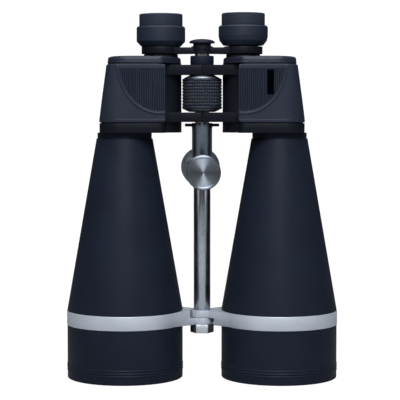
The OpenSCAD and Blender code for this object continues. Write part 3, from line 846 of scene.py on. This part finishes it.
def paint_kept(node, material):
    mesh = frame["nodes"][node].data
    mesh.materials.clear()
    mesh.materials.append(material)


# ---------------------------------------------------------------- light, floor and camera


WHITE = (1, 1, 1, 1)
# strength of the backdrop and floor as the camera sees them, just past full white
SEEN_WHITE = 1.05
DAYLIGHT = (0.93, 0.96, 1.0)


def make_floor():
    """Grey matt floor for the light, which the camera sees as plain white."""
    n = Nodes("floor_white")
    material = n.set(Base_Color=(0.3, 0.3, 0.3, 1), Roughness=0.8)
    glow = n.add("ShaderNodeEmission", {"Color": WHITE, "Strength": SEEN_WHITE})
    seen = n.add("ShaderNodeLightPath").outputs["Is Camera Ray"]
    mix = n.add("ShaderNodeMixShader", {0: seen, 1: n.shader.outputs[0], 2: glow.outputs[0]})
    n.tree.links.new(mix.outputs[0], n.tree.nodes["Material Output"].inputs["Surface"])
    bm = bmesh.new()
    half_size, gap = 60000, 0.05
    bmesh.ops.create_grid(bm, x_segments=2, y_segments=2, size=half_size)
    bmesh.ops.translate(bm, vec=(0, 0, -gap), verts=bm.verts)
    bmesh.ops.scale(bm, vec=(MM, MM, MM), verts=bm.verts)
    mesh = bpy.data.meshes.new("floor")
    bm.to_mesh(mesh)
    bm.free()
    mesh.materials.append(material)
    floor = bpy.data.objects.new("floor", mesh)
    bpy.context.collection.objects.link(floor)


def area_light(name, place, aim, size, power, colour=(1, 1, 1)):
    data = bpy.data.lights.new(name, "AREA")
    data.shape = "RECTANGLE"
    data.size, data.size_y = size
    data.energy = power
    data.color = colour
    light = bpy.data.objects.new(name, data)
    light.location = place
    light.rotation_euler = (Vector(aim) - Vector(place)).to_track_quat("-Z", "Y").to_euler()
    bpy.context.collection.objects.link(light)


def make_light():
    """Large soft boxes, mainly in front and above, and a dim world that the camera sees as white."""
    target = (0, 0, 0.16)
    area_light("front_box", (0.0, -1.35, 1.3), target, (0.9, 0.8), 50, DAYLIGHT)
    area_light("left_box", (-1.3, -1.0, 0.7), target, (0.5, 1.0), 2)
    area_light("right_box", (1.3, -1.0, 0.7), target, (0.5, 1.0), 2)
    area_light("top_box", (0.0, 0.1, 1.6), target, (1.2, 0.8), 29, DAYLIGHT)
    world = bpy.data.worlds.new("studio")
    bpy.context.scene.world = world
    world.use_nodes = True
    tree = world.node_tree
    back = tree.nodes["Background"]
    back.inputs["Color"].default_value = WHITE
    back.inputs["Strength"].default_value = 0.08
    bright = tree.nodes.new("ShaderNodeBackground")
    bright.inputs["Color"].default_value = WHITE
    bright.inputs["Strength"].default_value = SEEN_WHITE
    path = tree.nodes.new("ShaderNodeLightPath")
    mix = tree.nodes.new("ShaderNodeMixShader")
    tree.links.new(path.outputs["Is Camera Ray"], mix.inputs["Fac"])
    tree.links.new(back.outputs[0], mix.inputs[1])
    tree.links.new(bright.outputs[0], mix.inputs[2])
    tree.links.new(mix.outputs[0], tree.nodes["World Output"].inputs["Surface"])


def make_camera():
    """Long lens level with the object's upper third, tilted down to centre it in a square frame."""
    distance = 1.245
    eye_level = 0.218
    tilt = math.radians(3.272)
    turn = math.radians(0.078)
    data = bpy.data.cameras.new("camera")
    data.sensor_width = 36
    data.lens = 135.6
    camera = bpy.data.objects.new("camera", data)
    camera.location = (0, -distance, eye_level)
    camera.rotation_euler = (math.pi / 2 - tilt, 0, turn)
    bpy.context.collection.objects.link(camera)
    bpy.context.scene.camera = camera
    bpy.context.scene.view_settings.view_transform = "Standard"


# ---------------------------------------------------------------- assembly

make_floor()
make_light()
make_camera()
for side in SIDES:
    make_barrel(side)
    make_armour(side)
    make_top_cover(side)
    make_grip_band(side)
    make_eyecup(side)
    # a lens's numbers are the radii of its lower and upper faces, positive where the face bulges down
    make_lens(f"{side}_front_lens", f"{side} half", 300, -250)
    make_lens(f"{side}_rear_lens", f"{side} half", -250, 4000)
    ocular = body_with(f"{side}_eye_lens")
    make_lens(f"{side}_eye_lens", ocular, 4000, -45)
    make_lens(f"{side}_field_lens", ocular, 4000, -30)
    for part, (material, slot, width) in SOFTENED.items():
        node = f"{side}_{part}"
        softened(node, material, body_with(node), width)
    for part, material in KEPT.items():
        paint_kept(f"{side}_{part}", material)
for node, (material, slot, width, body) in SOFTENED_MIDDLE.items():
    softened(node, material, body, width)
for node, material in KEPT_MIDDLE.items():
    paint_kept(node, material)
make_focus_wheel()
make_bridge_cap()
make_lock_knob()
